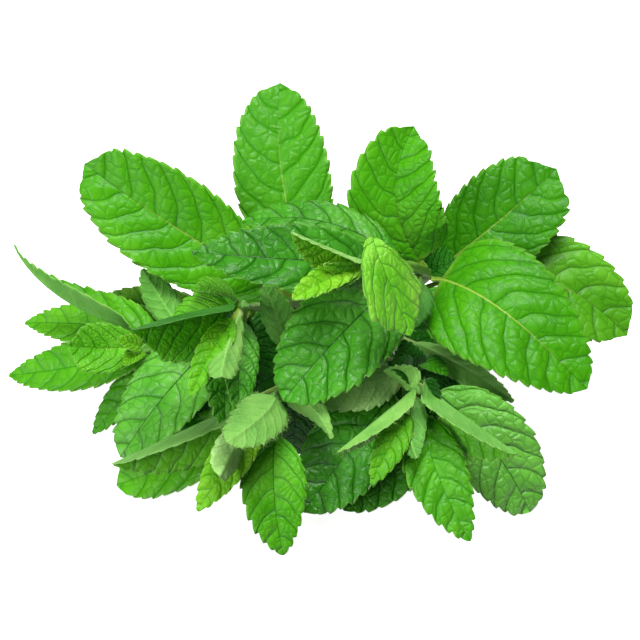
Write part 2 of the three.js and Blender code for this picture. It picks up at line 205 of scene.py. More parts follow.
stem = bmesh.new()
for shoot in SHOOTS:
    tube = bmesh.new()
    skin = tube.verts.layers.float_vector.new("skin")
    rings = round(SHOOTS[shoot]["length"] / RING_STEP)
    bmesh.ops.create_grid(tube, x_segments=STEM_SIDES, y_segments=rings, size=1)
    for v in tube.verts:
        turn = math.pi * (v.co.x + 1)
        t = (v.co.y + 1) / 2
        centre, axis, side, top = shoot_frame(shoot, t)
        c, s = math.cos(turn), math.sin(turn)
        corner = (abs(c) ** CORNER_POWER + abs(s) ** CORNER_POWER) ** (-1 / CORNER_POWER)
        channel = 1 - CHANNEL_DEPTH * math.cos(2 * turn) ** 6
        reach = half_width(shoot, t) * corner * channel
        v[skin] = (turn / math.tau, t * SHOOTS[shoot]["length"], 0)
        v.co = centre + side * (c * reach) + top * (s * reach)
        v.co.z = max(v.co.z, 0)
    bmesh.ops.remove_doubles(tube, verts=tube.verts, dist=1e-4)
    open_edges = [e for e in tube.edges if e.is_boundary]
    caps = bmesh.ops.holes_fill(tube, edges=open_edges, sides=0)["faces"]
    bmesh.ops.recalc_face_normals(tube, faces=tube.faces)
    foot = min(caps, key=lambda f: (f.calc_center_median() - shoot_point(shoot, 0)).length)
    if shoot == "main":
        bmesh.ops.inset_region(tube, faces=[foot], thickness=PITH_INSET, depth=-PITH_SINK)
        foot.material_index = 1
    part = bpy.data.meshes.new(shoot)
    tube.to_mesh(part)
    tube.free()
    stem.from_mesh(part)
    bpy.data.meshes.remove(part)
finished(stem, "branched_stem", "stem", [stem_skin, pith])


# ---- the leaves of the main stem ----
# Mint leaves in pairs: thin oval blades with saw teeth that point forwards, a midrib, side veins
# that curve forwards, and skin quilted between them. Each grows from the stem on a short stalk.


def leaf_skin(name, deep, middle, light, line, rim, rib, relief, roughness, specular):
    """One face of a mint leaf. relief is the height of its cushions in metres: below zero on the
    underside, where the veins stand out instead."""
    material = new_material(name)
    tree = material.node_tree
    # veins holds, in steps between side veins: the vein's number, the place across, and along
    veins = add(tree, "Attribute", attribute_name="veins")
    number = add(tree, "SeparateXYZ", {0: veins.outputs["Vector"]})
    # place holds the share across, the share along, and the leaf's tone, which is partly its own colour
    # and partly painted light and shade
    place = add(tree, "Attribute", attribute_name="place")
    share = add(tree, "SeparateXYZ", {0: place.outputs["Vector"]})
    flat = add(tree, "CombineXYZ", {0: number.outputs[1], 1: number.outputs[2], 2: share.outputs[2]})
    across = add(tree, "Math", {0: number.outputs[1]}, operation="ABSOLUTE")

    wander = add(tree, "TexNoise", {"Vector": flat, "Scale": 1.1, "Detail": 0.6})
    wander = add(tree, "MapRange", {0: wander, 1: 0.25, 2: 0.75, 3: -0.13, 4: 0.13})
    side_vein = add(tree, "Math", {0: number.outputs[0], 1: wander}, operation="ADD")
    from_vein = add(tree, "Math", {0: side_vein, 1: 1.0}, operation="PINGPONG")
    half_way = add(tree, "Math", {0: from_vein, 1: 0.5}, operation="SUBTRACT")
    half_way = add(tree, "Math", {0: half_way}, operation="ABSOLUTE")
    # from_vein runs 0 to 1 between two veins, so this is 0 on a vein and 0.5 between
    vein_gap = add(tree, "Math", {0: 0.5, 1: half_way}, operation="SUBTRACT")
    vein = add(
        tree, "MapRange", {0: vein_gap, 1: 0.01, 2: 0.034, 3: 1.0, 4: 0.0},
        interpolation_type="SMOOTHSTEP",
    )
    # the root keeps the bottom of the groove sharp
    gap_root = add(tree, "Math", {0: vein_gap, 1: 0.5}, operation="POWER")
    vein_swell = add(
        tree, "MapRange", {0: gap_root, 1: 0.0, 2: 0.5, 3: 0.0, 4: 1.0},
        interpolation_type="SMOOTHSTEP",
    )

    # smaller veins join the side veins in a net of round cells, about 3.5 mm wide on a large leaf
    cell_place = add(tree, "CombineXYZ", {0: wander, 1: wander})
    cell_place = add(tree, "VectorMath", {0: flat, 1: cell_place}, operation="ADD")
    cells = add(
        tree, "TexVoronoi", {"Vector": cell_place, "Scale": 2.6, "Randomness": 0.8},
        feature="DISTANCE_TO_EDGE",
    )
    cross = add(
        tree, "MapRange", {0: cells, 1: 0.0, 2: 0.07, 3: 1.0, 4: 0.0},
        interpolation_type="SMOOTHSTEP",
    )
    cross_swell = add(
        tree, "MapRange", {0: cells, 1: 0.0, 2: 0.3, 3: 0.0, 4: 1.0},
        interpolation_type="SMOOTHSTEP",
    )

    # the finest net, about 1 mm and coarser than it grows, with a grain of 0.4 mm and less over it
    net = add(tree, "TexVoronoi", {"Vector": flat, "Scale": 9.0}, feature="DISTANCE_TO_EDGE")
    net_swell = add(
        tree, "MapRange", {0: net, 1: 0.0, 2: 0.3, 3: 0.0, 4: 1.0},
        interpolation_type="SMOOTHSTEP",
    )
    grain = add(tree, "TexNoise", {"Vector": flat, "Scale": 22.0, "Detail": 2.0})

    rib_reach = add(tree, "MapRange", {0: share.outputs[1], 1: 0.0, 2: 1.0, 3: 0.042, 4: 0.014})
    rib_near = add(tree, "Math", {0: across, 1: rib_reach}, operation="DIVIDE")
    rib_line = add(
        tree, "MapRange", {0: rib_near, 1: 0.55, 2: 1.25, 3: 1.0, 4: 0.0},
        interpolation_type="SMOOTHSTEP",
    )

    height = add(tree, "Math", {0: cross_swell, 1: vein_swell}, operation="MULTIPLY")
    height = add(tree, "Math", {0: height, 1: 0.9}, operation="MULTIPLY")
    height = add(tree, "Math", {0: net_swell, 1: 0.12, 2: height}, operation="MULTIPLY_ADD")
    height = add(tree, "Math", {0: grain, 1: 0.12, 2: height}, operation="MULTIPLY_ADD")
    height = add(tree, "Math", {0: vein_swell, 1: 1.3, 2: height}, operation="MULTIPLY_ADD")
    bump = add(tree, "Bump", {"Strength": 1.0, "Distance": relief, "Height": height})

    patch = add(tree, "TexNoise", {"Vector": flat, "Scale": 0.55, "Detail": 1.0})
    tone = add(tree, "MapRange", {0: patch, 1: 0.3, 2: 0.7, 3: -0.22, 4: 0.22})
    tone = add(tree, "Math", {0: share.outputs[2], 1: tone}, operation="ADD")
    dark_half = add(tree, "MapRange", {0: tone, 1: 0.0, 2: 0.5, 3: 0.0, 4: 1.0})
    light_half = add(tree, "MapRange", {0: tone, 1: 0.5, 2: 1.0, 3: 0.0, 4: 1.0})
    colour = add(tree, "MixRGB", {0: dark_half, 1: linear(deep), 2: linear(middle)})
    colour = add(tree, "MixRGB", {0: light_half, 1: colour, 2: linear(light)})
    # painted highlight: the higher the cushions stand, the lighter their colour
    top = add(tree, "Math", {0: height, 1: 0.06}, operation="MULTIPLY")
    colour = add(tree, "MixRGB", {0: top, 1: colour, 2: linear(light)})
    fine_line = add(tree, "Math", {0: cross, 1: 0.35}, operation="MULTIPLY")
    colour = add(tree, "MixRGB", {0: fine_line, 1: colour, 2: linear(line)})
    # painted shade: the line colour spreads softly over the groove beside each side vein; on an underside,
    # whose line colour is light, the band is pale
    groove = add(tree, "MapRange", {0: vein_swell, 1: 0.0, 2: 0.6, 3: 0.5, 4: 0.0})
    side_line = add(tree, "Math", {0: vein, 1: 0.6}, operation="MULTIPLY")
    side_line = add(tree, "Math", {0: side_line, 1: groove}, operation="MAXIMUM")
    colour = add(tree, "MixRGB", {0: side_line, 1: colour, 2: linear(line)})
    # the midrib is pale near the stalk and sinks into a plain line towards the tip
    pale = add(tree, "Attribute", attribute_name="pale_rib")
    rib_pale = add(tree, "MapRange", {0: share.outputs[1], 1: 0.4, 2: 0.9, 3: 1.0, 4: 0.0})
    rib_pale = add(tree, "Math", {0: rib_pale, 1: pale.outputs["Fac"]}, operation="MULTIPLY")
    rib_colour = add(tree, "MixRGB", {0: rib_pale, 1: linear(line), 2: linear(rib)})
    rib_share = add(tree, "Math", {0: rib_line, 1: 0.85}, operation="MULTIPLY")
    colour = add(tree, "MixRGB", {0: rib_share, 1: colour, 2: rib_colour})
    # a paler margin: partly the leaf's own colour and partly a painted highlight along its edge
    edge = add(tree, "MapRange", {0: share.outputs[0], 1: 0.93, 2: 1.0, 3: 0.0, 4: 0.55})
    colour = add(tree, "MixRGB", {0: edge, 1: colour, 2: linear(rim)})
    stalk = add(tree, "MapRange", {0: number.outputs[2], 1: -0.15, 2: 0.2, 3: 0.8, 4: 0.0})
    colour = add(tree, "MixRGB", {0: stalk, 1: colour, 2: linear(rib)})

    dull = add(
        tree, "MapRange", {0: grain, 1: 0.3, 2: 0.7, 3: roughness - 0.06, 4: roughness + 0.08}
    )
    shader = add(
        tree, "BsdfPrincipled",
        {"Base Color": colour, "Roughness": dull, "Normal": bump, "IOR": 1.42,
         "Specular IOR Level": specular},
    )
    add(tree, "OutputMaterial", {0: shader})
    return material


# Mature leaf: saturated green skin with a satin gloss on cushions, darker in the sunken veins,
# which have a dark line of their own and painted shade in the groove beside it. Its underside is
# paler, greyer and matt, with the net of veins standing out light. A waxy leaf is older, with more
# gloss, and a shaded one is the darkest: its colour is painted shade, for leaves deep inside the
# plant. A fresh leaf is half grown and lighter, and a young one, at a growing tip, is light
# yellow-green.
LEAF_FACES = {
    "mature": [
        leaf_skin("mature_leaf_upper_skin", "#2c8202", "#44a004", "#6cc228", "#1a6202", "#7cc23c",
                  "#a0c04a", 0.00018, 0.34, 0.24),
        leaf_skin("mature_leaf_underside", "#387c28", "#569c3c", "#80ba5e", "#72ae4e", "#88be5c",
                  "#a3bd66", -0.00008, 0.6, 0.25),
    ],
    "waxy": [
        leaf_skin("waxy_leaf_upper_skin", "#1e6c08", "#3f9818", "#74c648", "#0c4402", "#76bc44",
                  "#8fb84a", 0.00028, 0.3, 0.34),
        leaf_skin("waxy_leaf_underside", "#387c28", "#569c3c", "#80ba5e", "#72ae4e", "#88be5c",
                  "#a3bd66", -0.00008, 0.6, 0.25),
    ],
    # the shaded skins are darker copies of the leaf skins: painted shade for leaves inside the bunch
    "shaded": [
        leaf_skin("shaded_leaf_upper_skin", "#0d4a00", "#1d6c08", "#358f1c", "#062e00", "#3a7a1e",
                  "#5a8a30", 0.00022, 0.36, 0.2),
        leaf_skin("shaded_leaf_underside", "#1a5a12", "#327a20", "#54983c", "#4a8c32", "#58963e",
                  "#6c9440", -0.00008, 0.6, 0.2),
    ],
    "fresh": [
        leaf_skin("fresh_leaf_upper_skin", "#3c9a08", "#5cba18", "#92dc42", "#2e8608", "#98d854",
                  "#aacc50", 0.00022, 0.36, 0.3),
        leaf_skin("fresh_leaf_underside", "#48982c", "#6eb648", "#98da6a", "#86ca5c", "#a0d26c",
                  "#b4cc78", -0.00008, 0.6, 0.25),
    ],
    "young": [
        leaf_skin("young_leaf_upper_skin", "#46a004", "#6abe14", "#a0e03c", "#3a9408", "#aae458",
                  "#b8d858", 0.00018, 0.36, 0.3),
        leaf_skin("young_leaf_underside", "#54a238", "#80c052", "#aadc80", "#9cd070", "#acdc7c",
                  "#bcd484", -0.0001, 0.55, 0.25),
    ],
}

FAN_LEAN = 38  # degrees back from upright, so that the camera looks straight at the fan
FAN_TURN = Matrix.Rotation(math.radians(90 - FAN_LEAN), 3, "X")
FAN_HEIGHT = 40
TOOTH_PITCH = 3.2
TOOTH_DEPTH = 0.85
TOOTH_SHAPE = (0, 0.42, 0.72, 0.92, 1)  # a tooth swells slowly towards the tip and drops back
VEIN_STEP = 9
FEWEST_VEINS = 6
VEIN_SLANT = 0.4
VEIN_CURVE = 1.5
VEIN_STAGGER = 0.35  # how far the right half's side veins are ahead, in steps
COLUMN_STEP = 1.7
STALK_ROW_STEP = 1.5
BLADE_THICKNESS = 0.42
MIDRIB_HEIGHT = 0.75
STALK_RISE = 0.45
STALK_DEPTH = 0.85
HAIR_LENGTHS = (0.8, 1.7)
HAIR_FOOT = 0.06
HAIR_POINT = 0.01


def fan_point(right_up_front):
    """A point of the fan of leaves, which leans back over the surface."""
    return FAN_TURN @ Vector(right_up_front) + Vector((0, 0, FAN_HEIGHT))


def leaf_mesh():
    """A bmesh that carries what the skins read."""
    bm = bmesh.new()
    bm.loops.layers.float_vector.new("veins")
    bm.verts.layers.float_vector.new("place")
    bm.verts.layers.float.new("pale_rib")
    return bm


def add_blade(
    piece, base, tip, face, width, root, bow=3, sway=0, fold=8, cup=0, twist=0, petiole=3,
    swell=0.55, point=0.8, crest=0.5, pressed=False, tone=0.5, rib=0.0, hairs=0,
    quilt=0.065, first_slot=0,
):
    """Adds one closed leaf to a piece, from base to tip with its upper side to the face. root is
    how its stalk reaches on into what carries it, quilt the height of the cushions between its
    side veins as a share of their spacing, and first_slot is where its upper skin is."""
    chance = random.Random(str(tuple(tip)))
    length = (tip - base).length
    along = (tip - base).normalized()
    up = (face - along * along.dot(face)).normalized()
    turned = Matrix((along.cross(up), along, up)).transposed()
    blade = length - petiole
    vein_step = blade / max(blade / VEIN_STEP, FEWEST_VEINS)
    teeth = round(min(max(blade / TOOTH_PITCH, 8), 18))
    blade_rows = teeth * len(TOOTH_SHAPE)
    stalk_rows = max(2, round(petiole / STALK_ROW_STEP))
    rows = 1 + stalk_rows + blade_rows
    columns = 2 * round(min(max(width / COLUMN_STEP, 6), 20))
    fullest = swell / (swell + point)
    peak = fullest**swell * (1 - fullest) ** point
    waves = [chance.uniform(0, math.tau) for _ in range(2)]
    bites = [[chance.uniform(0.5, 1.35) for _ in range(teeth + 1)] for _ in range(2)]

    def spine(t):
        rise = t ** (2 * crest) * (1 - t) ** (2 - 2 * crest)
        rise /= crest ** (2 * crest) * (1 - crest) ** (2 - 2 * crest)
        return Vector((sway * rise, length * t, bow * rise))

    def vein_number(b, x, right):
        """How many side veins lie between the stalk and a place on the blade."""
        forward = VEIN_SLANT * abs(x) + VEIN_CURVE * x * x / width
        return (b * blade - forward) / vein_step + (VEIN_STAGGER if right else 0)

    stations = []
    for row in range(rows + 1):
        s = max(row - 1 - stalk_rows, 0) / blade_rows
        b = s - 0.35 * math.sin(math.tau * s) / math.tau
        stalk_share = min(max(row - 1, 0) / stalk_rows, 1)
        t = (petiole * stalk_share + blade * b) / length
        axis = (spine(min(t + 0.01, 1)) - spine(max(t - 0.01, 0))).normalized()
        normal = (UP - axis * axis.z).normalized()
        turn = Quaternion(axis, -math.radians(twist) * (t - 0.3))
        outline = width / 2 * b**swell * (1 - b) ** point / peak
        outline = min(outline, 1.9 * (1 - b) * blade)
        half = max(outline, 0.8 if row < rows else 0.25)
        stations.append((s, b, t, spine(t), axis, turn @ axis.cross(normal), turn @ normal, half))

    sheet = leaf_mesh()
    bmesh.ops.create_grid(sheet, x_segments=columns, y_segments=rows, size=1)
    bmesh.ops.solidify(sheet, geom=sheet.faces[:], thickness=1)
    sheet.normal_update()
    veins = sheet.loops.layers.float_vector["veins"]
    place = sheet.verts.layers.float_vector["place"]
    pale = sheet.verts.layers.float["pale_rib"]
    for f in sheet.faces:
        f.material_index = first_slot + (f.normal.z < 0.5)
        right = f.calc_center_median().x > 0
        for loop in f.loops:
            c = loop.vert.co.x
            row = round((loop.vert.co.y + 1) / 2 * rows)
            s, b, t, middle, axis, side, normal, half = stations[row]
            x = c * (0.6 + 0.4 * c * c) * half
            number = vein_number(b, x, right)
            loop[veins] = (number, x / vein_step, (t * length - petiole) / vein_step)
    for v in sheet.verts:
        c = v.co.x
        row = round((v.co.y + 1) / 2 * rows)
        upper = v.co.z > -0.5
        s, b, t, middle, axis, side, normal, half = stations[row]
        a = c * (0.6 + 0.4 * c * c)
        share = abs(a)
        sign = math.copysign(1, a)
        tooth_row = max(row - 1 - stalk_rows, 0)
        bite = bites[a > 0][tooth_row // len(TOOTH_SHAPE)] * min(s * 5, (1 - s) * 6, 1)
        bite *= TOOTH_DEPTH * min(1, width / 20)
        tooth = TOOTH_SHAPE[tooth_row % len(TOOTH_SHAPE)] if 0 < s < 1 else 0.5
        wide = half + bite * (tooth - 0.55) * share**5
        angle = min(b * 6, 1) * math.radians(fold + cup * share / 2)
        outward = normal * math.cos(angle) - side * (sign * math.sin(angle) * min(share * 20, 1))
        spot = middle + side * (wide * a * math.cos(angle)) + normal * (wide * share * math.sin(angle))
        spot += axis * (0.9 * bite * tooth * share**8)

        # cushions between the side veins, waves along the margin
        x = share * half
        cushion = math.sin(math.pi * vein_number(b, x, a > 0)) ** 2
        cushion *= min(x / (0.35 * vein_step), 1)
        lift = quilt * vein_step * cushion * (1 - 0.3 * share**4) * min(b * 8, 1)
        lift += 0.014 * width * share**2 * math.sin(5 * b + waves[a > 0]) * min(b * 4, 1)

        # a rounded, channelled stalk that runs on as the midrib, raised on the underside
        grown = min(b * 10, 1)
        thick = BLADE_THICKNESS * min(1, 0.6 + width / 50) * (1 - 0.45 * share**3)
        if upper:
            stalk = STALK_RISE * (1 - a * a) ** 0.5 - 0.25 * math.exp(-((x / 0.3) ** 2))
            skin = thick / 2 - 0.22 * math.exp(-((x / 0.6) ** 2)) * (1 - b)
        else:
            stalk = -STALK_DEPTH * (1 - a * a) ** 0.5
            skin = -thick / 2 - MIDRIB_HEIGHT * math.exp(-((x / 0.75) ** 2)) * (1 - 0.8 * b)
        rise = stalk + (skin - stalk) * grown + lift
        spot = base + turned @ spot
        if pressed:
            spot.z = max(spot.z, 0.35)
        spot += turned @ outward * rise
        if pressed:
            spot.z = max(spot.z, 0.3 if upper else 0)
        if row == 0:
            spot += root
        v[place] = (share, b, tone)
        v[pale] = rib
        v.co = spot

    # short pale hairs stand on the margin and the midrib; twice as thick as they grow, to show
    sheet.normal_update()
    hairy = [v for v in sheet.verts if v[place].x > 0.99 or (v[place].x < 0.01 and v.normal.z < 0)]
    roots = [(v.co.copy(), v.normal.copy(), v[place].copy()) for v in hairy]
    for _ in range(hairs):
        spot, normal, grown_at = chance.choice(roots)
        tilt = Vector([chance.uniform(-0.45, 0.45) for _ in range(3)])
        reach = chance.uniform(*HAIR_LENGTHS)
        stand = UP.rotation_difference(normal + tilt).to_matrix().to_4x4()
        stand = Matrix.Translation(spot) @ stand @ Matrix.Translation((0, 0, reach / 2))
        hair = bmesh.ops.create_cone(
            sheet, cap_ends=True, segments=3, radius1=HAIR_FOOT, radius2=HAIR_POINT, depth=reach,
            matrix=stand,
        )
        for v in hair["verts"]:
            v[place] = grown_at
            for loop in v.link_loops:
                loop[veins] = (0.5, 0.5, 3)
                loop.face.material_index = first_slot + 1
    part = bpy.data.meshes.new("blade")
    sheet.to_mesh(part)
    sheet.free()
    piece.from_mesh(part)
    bpy.data.meshes.remove(part)


# A leaf's kind and tone choose its skin and how light or dark it is. They follow its age and its own
# colour, and partly they are painted light and shade: some leaves were made darker or lighter for the
# shade or the light that falls on them where they lie.
def leaf(node, shoot, at, tip, face, width, gap=0.6, kind="mature", **shape):
    """A leaf with its stalk in the stem at a share of the shoot's length."""
    centre, axis, side, top = shoot_frame(shoot, at)
    tip = fan_point(tip)
    out = tip - centre
    out = (out - axis * axis.dot(out)).normalized()
    reach = half_width(shoot, at) / max(abs(out.dot(side)), abs(out.dot(top)))
    base = centre + out * (reach + gap)
    piece = leaf_mesh()
    face = (FAN_TURN @ Vector(face)).normalized()
    add_blade(piece, base, tip, face, width, out * -(gap + 0.7), **shape)
    return finished(piece, "mint_" + node, node, LEAF_FACES[kind])


leaf("main_leaf_1", "main", 0.2, (72, 5, -74), (0, 0.79, 0.62), 28, bow=-5, petiole=5, point=0.6,
     pressed=True, tone=0.35)
leaf("main_leaf_2", "main", 0.2, (-36, 10, -80), (0, 0.79, 0.62), 26, bow=-5, petiole=5, point=0.6,
     pressed=True, tone=0.35)
leaf("main_leaf_3", "main", 0.35, (45, -24, -16), (0, 0.4, 1), 22, fold=6, petiole=5, point=0.6,
     gap=0.9, kind="shaded", tone=0.6)
leaf("main_leaf_4", "main", 0.5, (75, 48, -16), (0.1, 0.3, 1), 32, bow=4, sway=2, fold=6, petiole=6,
     point=0.45, tone=0.15, rib=0.8, quilt=0.04)
leaf("main_leaf_5", "main", 0.5, (98, -5, -20), (-0.1, 0.4, 1), 32, bow=6, sway=-10, petiole=12,
     point=0.55, tone=0.85, rib=1.0, quilt=0.04)
leaf("main_leaf_6", "main", 0.625, (29, 60, 0), (-0.2, 0.2, 1), 31, bow=4, sway=-7, fold=16,
     petiole=2, swell=0.25, point=0.5, tone=0.5, rib=0.2, quilt=0.04)
leaf("main_leaf_7", "main", 0.625, (81, -21, 12), (0.1, 0.3, 1), 41, bow=8, sway=-2, fold=6,
     cup=-10, swell=0.25, point=0.65, crest=0.4, tone=0.4, rib=1.0, quilt=0.05)
leaf("main_leaf_8", "main", 0.7, (27, -3.5, 14), (0, 0.3, -1), 11, bow=-4, gap=0.9, kind="shaded",
     tone=0.8)
leaf("main_leaf_9", "main", 0.74, (-24, 30, 4), (0, 0.9, 0.8), 17, bow=6, sway=3, petiole=4,
     point=0.7, kind="waxy", tone=0.5)
leaf("main_leaf_10", "main", 0.75, (-11, -24, 30), (-0.1, 0.3, 1), 31, bow=6, cup=-10, petiole=4,
     point=0.6, kind="waxy", tone=0.5)
leaf("main_leaf_11", "main", 0.875, (-38, 20, 28), (0, 0.35, 1), 22, bow=4, sway=-2, fold=12,
     gap=0.9, kind="waxy", tone=0.25)
leaf("main_leaf_12", "main", 0.875, (26, -4.5, 42), (0, 0.85, 0.5), 20, bow=21, sway=9, cup=-14,
     swell=2.0, point=0.6, crest=0.35, gap=1.2, kind="fresh", tone=0.65, quilt=0.03, hairs=80)


# ---- the leaves of the left shoot ----
# The shoot that rises in the middle left carries two of the largest leaves at its foot and
# smaller ones towards its tip.

leaf("left_leaf_1", "left", 0.36, (-13, 76, -22), (0, 0.1, 1), 31, bow=4, sway=-4.5, fold=6,
     petiole=6, point=0.55, kind="fresh", tone=-0.1, rib=0.6, quilt=0.04)
leaf("left_leaf_2", "left", 0.46, (-74, 49, -8), (0.15, -0.2, 1), 33, bow=5, sway=-1, fold=12,
     petiole=10, point=0.5, tone=0.5, rib=0.7, quilt=0.045)
leaf("left_leaf_3", "left", 0.72, (-61, -42, 8), (-0.3, 0.4, 1), 26, bow=6, cup=-8, petiole=5,
     point=0.6, kind="waxy", tone=0.75)
leaf("left_leaf_4", "left", 0.84, (-38, 9, 18), (0, 0.8, 0.6), 9, bow=2, sway=2, fold=10,
     petiole=2, tone=0.9, quilt=0.03)
leaf("left_leaf_5", "left", 0.86, (-45, -3, 15), (-0.3, 0.6, 1), 15, bow=2, sway=1, tone=0.8,
     quilt=0.04)
leaf("left_leaf_6", "left", 0.9, (-24, -29, 29.5), (0.5, 0, 1), 12, bow=2, sway=2, fold=14,
     kind="waxy", tone=0.6)


# ---- the leaves of the far left shoot ----
# A lower, thinner shoot that spreads out to the left with narrower, paler leaves.

leaf("far_left_leaf_1", "far_left", 0.5, (-72, 7, -30), (0, 0.4, 1), 14, bow=4, kind="fresh",
     tone=1.0)
leaf("far_left_leaf_2", "far_left", 0.66, (-97, -1, -38), (0, 0.4, 1), 17, kind="fresh", tone=0.5)
leaf("far_left_leaf_3", "far_left", 0.72, (-56, 16, -8), (0, -0.2, -1), 11, bow=2, fold=15,
     kind="fresh", tone=0.3)
leaf("far_left_leaf_4", "far_left", 0.74, (-72, -36, -14), (-0.2, 0.3, 1), 12, tone=0.5)
leaf("far_left_leaf_5", "far_left", 0.84, (-97, 24, -14), (0.1, 0.9, 0.3), 18, bow=-7, fold=46,
     twist=-50, point=1.2, crest=0.6, kind="fresh", tone=0.3)
leaf("far_left_leaf_6", "far_left", 0.86, (-101, -18, -30), (0, 0.4, 1), 18, bow=1, sway=-2,
     kind="fresh", tone=0.2)
leaf("far_left_leaf_7", "far_left", 0.98, (-78, -8, 4), (0, 0.1, 1), 17, bow=-1, sway=-1, fold=24,
     petiole=2, point=0.4, tone=0.75, rib=0.9)


# ---- the leaves of the lower left shoot ----
# The shoot under the left one. One of its leaves hangs down to the surface, one is folded along
# its midrib, and two turn their undersides up.

leaf("low_left_leaf_1", "low_left", 0.45, (-25, -25, -14), (0, 0.5, 1), 26, fold=6, petiole=4,
     point=0.6, kind="shaded", tone=0.4)
leaf("low_left_leaf_2", "low_left", 0.64, (-17, 11, 9), (0, 0.5, -1), 11, bow=2, fold=20,
     petiole=6, kind="fresh", tone=0.3)
leaf("low_left_leaf_3", "low_left", 0.76, (-63, -51, 1.5), (0, 0.3, 1), 19, bow=1, sway=-4, petiole=5,
     point=0.45, pressed=True, kind="fresh", tone=0.4)
leaf("low_left_leaf_4", "low_left", 0.88, (-62, -43, 24), (0.41, -0.74, 0.54), 24, bow=0, fold=48,
     petiole=5, tone=1.0, quilt=0.04)
leaf("low_left_leaf_5", "low_left", 0.96, (3.5, -35, 30), (0.2, 0.1, -1), 8, bow=-2, sway=3.5,
     fold=12, petiole=1, swell=0.3, kind="young", tone=0.4, quilt=0.02)
leaf("low_left_leaf_6", "low_left", 0.93, (-11, -70, 25), (0, 0.2, 1), 19.5, bow=5, sway=2.5,
     petiole=12, point=0.8, pressed=True, tone=0.6)


# ---- the leaves of the lower right shoot ----
# The shoot that comes forward to the right, with broad dark leaves near the surface.

leaf("low_right_leaf_1", "low_right", 0.3, (59, -25, 8), (0, -0.3, -0.95), 9, bow=2, sway=2,
     fold=10, petiole=8, kind="fresh", tone=0.9)
leaf("low_right_leaf_2", "low_right", 0.56, (-1, -39, -4), (0, 0.4, 1), 24, fold=6, petiole=4,
     point=0.6, kind="shaded", tone=0.7)
leaf("low_right_leaf_3", "low_right", 0.66, (16, -15, 5), (0, 0.8, 0.6), 12, bow=2, fold=10,
     petiole=5, gap=0.9, tone=0.2)
leaf("low_right_leaf_4", "low_right", 0.66, (39, -17, 8), (0, 0.8, 0.6), 8, bow=2, fold=10,
     petiole=3, gap=0.9, tone=0.2)
leaf("low_right_leaf_5", "low_right", 0.79, (-4, -24, 24), (0, -0.3, -0.95), 16, bow=-3, sway=1,
     fold=4, kind="young", tone=0.9, quilt=0.03)
leaf("low_right_leaf_6", "low_right", 0.72, (7, -58, 10), (0, 0.3, 1), 23, bow=1, sway=-7,
     petiole=8, pressed=True, kind="waxy", tone=0.5)
leaf("low_right_leaf_7", "low_right", 0.82, (-5, -58, 17), (0, 0.3, 1), 26, bow=3, petiole=6,
     point=0.65, kind="waxy", tone=0.3)
leaf("low_right_leaf_8", "low_right", 0.82, (64, -59, 10), (0, 0.3, 1), 26, bow=6, sway=-3,
     petiole=8, point=0.6, pressed=True, kind="waxy", tone=1.0)
leaf("low_right_leaf_9", "low_right", 0.96, (57, -39, 38), (-0.72, -0.6, 0.34), 23, bow=0, fold=45,
     petiole=2, swell=0.4, kind="fresh", tone=0.4, quilt=0.03, hairs=300)
leaf("low_right_leaf_10", "low_right", 0.94, (44, -65, 32), (0, 0.2, 1), 18.5, bow=5, sway=3,
     petiole=10, kind="fresh", tone=0.1)


# ---- the growing tips ----
# Each shoot ends in a tight bud of young yellow-green leaves round a tiny heart, some of them
# already open. They grew together, so each tip is one piece.

HEART_LENGTH = 5
HEART_WIDTH = 3.2


def bud(shoot, leaves):
    centre, axis, side, _ = shoot_frame(shoot, 1)
    heart = centre + axis * (0.35 + HEART_LENGTH / 2)
    piece = leaf_mesh()
    for i in range(4):
        # closed scales round the growing point, each a quarter turn from the last
        out = Quaternion(axis, i * math.pi / 2) @ side
        foot = heart - axis * (HEART_LENGTH / 2) + out * (0.2 * HEART_WIDTH)
        add_blade(piece, foot, foot + axis * (6 - 0.5 * i) - out * 0.6, out * -1, 3.4,
                  axis * -1.2, bow=-0.9, fold=30, petiole=0.6, tone=0.2)
    for tip, face, width, shape in leaves:
        face = (FAN_TURN @ Vector(face)).normalized()
        add_blade(piece, heart, fan_point(tip), face, width, -axis, **{"petiole": 1, **shape})
    # the largest leaf of a tip may be full-grown above; beneath it has the shaded underside, which is
    # painted shade
    skins = LEAF_FACES["young"] + [LEAF_FACES["mature"][0], LEAF_FACES["shaded"][1]]
    return finished(piece, shoot + "_young_leaves", shoot + "_bud", skins)


bud("main", [
    ((-8, 25, 46), (0, -0.9, 0.43), 14, {"bow": 0, "fold": 40, "tone": 0.6}),
    ((-8, 6, 46), (-0.2, 0.2, 1), 9, {"bow": 2, "fold": 14, "point": 0.6, "tone": 0.7}),
    ((-3, 7, 39), (-0.2, 0.2, 1), 9, {"bow": 2, "fold": 14, "tone": 0.5}),
    ((1, 16, 42), (0, -0.4, 1), 4, {"bow": 1, "fold": 20, "tone": 0.6}),
])
bud("left", [
    ((-54, -3, 46), (0.45, -0.67, 0.58), 27,
     {"bow": 0, "sway": 2, "fold": 48, "petiole": 2, "point": 0.45, "tone": 0.45, "quilt": 0.03,
      "first_slot": 2}),
    ((-37, -22, 50), (0, 0.2, 1), 9, {"bow": 2, "sway": 1, "fold": 10, "petiole": 6, "tone": 0.2}),
    ((-28, -16, 56), (0, -0.2, -1), 10.5,
     {"bow": 2, "sway": -1, "fold": 30, "petiole": 4, "point": 0.45, "tone": 0.4}),
])
bud("far_left", [
    ((-62, -6, 10), (0, 0.3, 1), 6, {"bow": 1, "fold": 20, "tone": 0.5}),
    ((-60, -14, 8), (0, 0.6, 1), 6, {"bow": 1, "fold": 20, "tone": 0.5}),
])
bud("low_left", [
    ((-27, -35, 48), (0, -0.2, -1), 15,
     {"bow": -3, "sway": 2, "fold": 8, "swell": 0.35, "point": 0.5, "tone": 0.35, "quilt": 0.02,
      "hairs": 260}),
    ((-36, -56, 34), (-0.1, 0.2, 1), 12.5, {"bow": 2, "petiole": 8, "tone": 0.6}),
    ((-29, -45, 44), (0, 0.5, -1), 12,
     {"bow": 2, "fold": 24, "petiole": 6, "point": 0.45, "tone": 1.0}),
])
